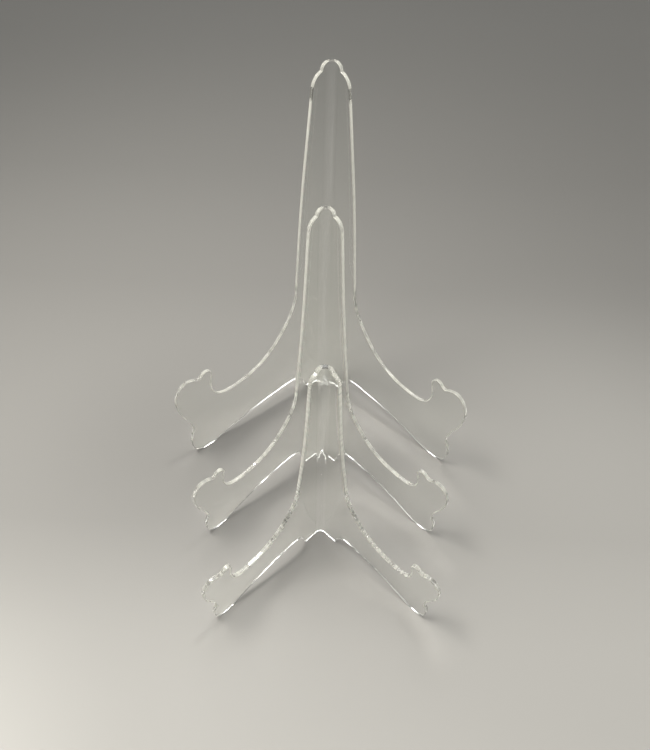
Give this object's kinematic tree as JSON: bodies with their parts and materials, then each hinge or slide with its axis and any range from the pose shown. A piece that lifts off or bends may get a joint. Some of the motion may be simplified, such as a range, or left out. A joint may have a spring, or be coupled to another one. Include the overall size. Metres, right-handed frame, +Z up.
{
  "type": "plate display stand",
  "caption": "Nesting clear acrylic plate stands in graduated sizes, each a sheet folded into an upright V whose scalloped lobes hook a plate's rim.",
  "frame": {"origin": "middle of the sheet's thickness at the large stand's spine, on the table", "axes": "+Z up; the stands open towards -Y, where the plate faces; +X to the viewer's right"},
  "size_m": [0.2448, 0.2616, 0.3052],
  "materials": {
    "large_acrylic": "polished",
    "medium_acrylic": "polished",
    "small_acrylic": "polished"
  },
  "bodies": {
    "large_stand": {"large_stand": "large_acrylic"},
    "medium_stand": {"medium_stand": "medium_acrylic"},
    "small_stand": {"small_stand": "small_acrylic"}
  },
  "joints": [
    {"name": "medium_slide", "type": "slide", "parent": "large_stand", "child": "medium_stand", "axis": [0, -1, 0], "range_m": [-0.085, 0.15]},
    {"name": "small_slide", "type": "slide", "parent": "medium_stand", "child": "small_stand", "axis": [0, -1, 0], "range_m": [-0.072, 0.15]}
  ]
}
